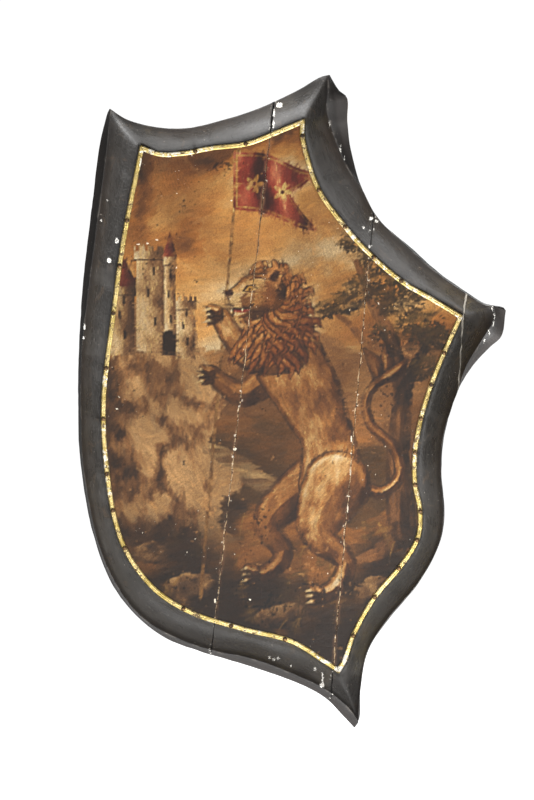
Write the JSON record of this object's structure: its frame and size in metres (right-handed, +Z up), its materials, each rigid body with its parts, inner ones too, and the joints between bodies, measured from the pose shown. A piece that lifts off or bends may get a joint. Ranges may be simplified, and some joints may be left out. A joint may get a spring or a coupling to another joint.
{
  "type": "shield",
  "caption": "Wooden parade shield with a painted field, gilt strips, a broad black rim and a notched outline, with arm straps and hanging rings behind.",
  "frame": {"origin": "middle of the upper batten's flat rear face", "axes": "+Z up as the shield is shown, +Y backwards out of the battens' rear faces, +X to the right as seen from the painted front"},
  "size_m": [0.4602, 0.1371, 0.6993],
  "materials": {
    "black_rim": "aged black lacquer",
    "painted_field": "varnished paint",
    "gilding": "worn gilding",
    "tack_brass": "dark and worn",
    "batten_wood": "bare, old",
    "peg_wood": "bare, old",
    "leather": "worn",
    "iron": "forged, dark"
  },
  "bodies": {
    "shield": {"plank_1": "black_rim", "plank_2": "black_rim", "plank_3": "black_rim", "plank_4": "black_rim", "painted_facing": "painted_field", "gilt_strip_top": "gilding", "gilt_strip_notch": "gilding", "gilt_strip_right": "gilding", "gilt_strip_left": "gilding", "tack_1": "tack_brass", "tack_2": "tack_brass", "tack_3": "tack_brass", "tack_4": "tack_brass", "tack_5": "tack_brass", "tack_6": "tack_brass", "tack_7": "tack_brass", "tack_8": "tack_brass", "tack_9": "tack_brass", "tack_10": "tack_brass", "tack_11": "tack_brass", "tack_12": "tack_brass", "tack_13": "tack_brass", "tack_14": "tack_brass", "tack_15": "tack_brass", "tack_16": "tack_brass", "tack_17": "tack_brass", "tack_18": "tack_brass", "tack_19": "tack_brass", "tack_20": "tack_brass", "tack_21": "tack_brass", "tack_22": "tack_brass", "tack_23": "tack_brass", "tack_24": "tack_brass", "tack_25": "tack_brass", "tack_26": "tack_brass", "tack_27": "tack_brass", "tack_28": "tack_brass", "upper_batten": "batten_wood", "lower_batten": "batten_wood", "upper_batten_peg_1": "peg_wood", "upper_batten_peg_2": "peg_wood", "upper_batten_peg_3": "peg_wood", "lower_batten_peg_1": "peg_wood", "lower_batten_peg_2": "peg_wood", "lower_batten_peg_3": "peg_wood", "forearm_strap": "leather", "hand_grip": "leather", "arm_pad": "leather", "forearm_strap_nail_upper_1": "iron", "forearm_strap_nail_upper_2": "iron", "forearm_strap_nail_lower_1": "iron", "forearm_strap_nail_lower_2": "iron", "hand_grip_nail_upper_1": "iron", "hand_grip_nail_lower_1": "iron", "hanging_staple": "iron", "guige_left_staple": "iron", "guige_right_staple": "iron"},
    "hanging_ring_body": {"hanging_ring": "iron"},
    "guige_left_ring_body": {"guige_left_ring": "iron"},
    "guige_right_ring_body": {"guige_right_ring": "iron"}
  },
  "joints": [
    {"name": "hanging_ring_swing", "type": "hinge", "parent": "shield", "child": "hanging_ring_body", "pos_m": [-0.04002, -0.02023, 0.118], "axis": [1, 0, 0], "range_deg": [0, 175]},
    {"name": "guige_left_ring_swing", "type": "hinge", "parent": "shield", "child": "guige_left_ring_body", "pos_m": [-0.115, -0.01821, 0.0683], "axis": [1, 0, 0], "range_deg": [0, 175]},
    {"name": "guige_right_ring_swing", "type": "hinge", "parent": "shield", "child": "guige_right_ring_body", "pos_m": [0.0552, -0.01936, 0.0683], "axis": [1, 0, 0], "range_deg": [0, 175]}
  ]
}
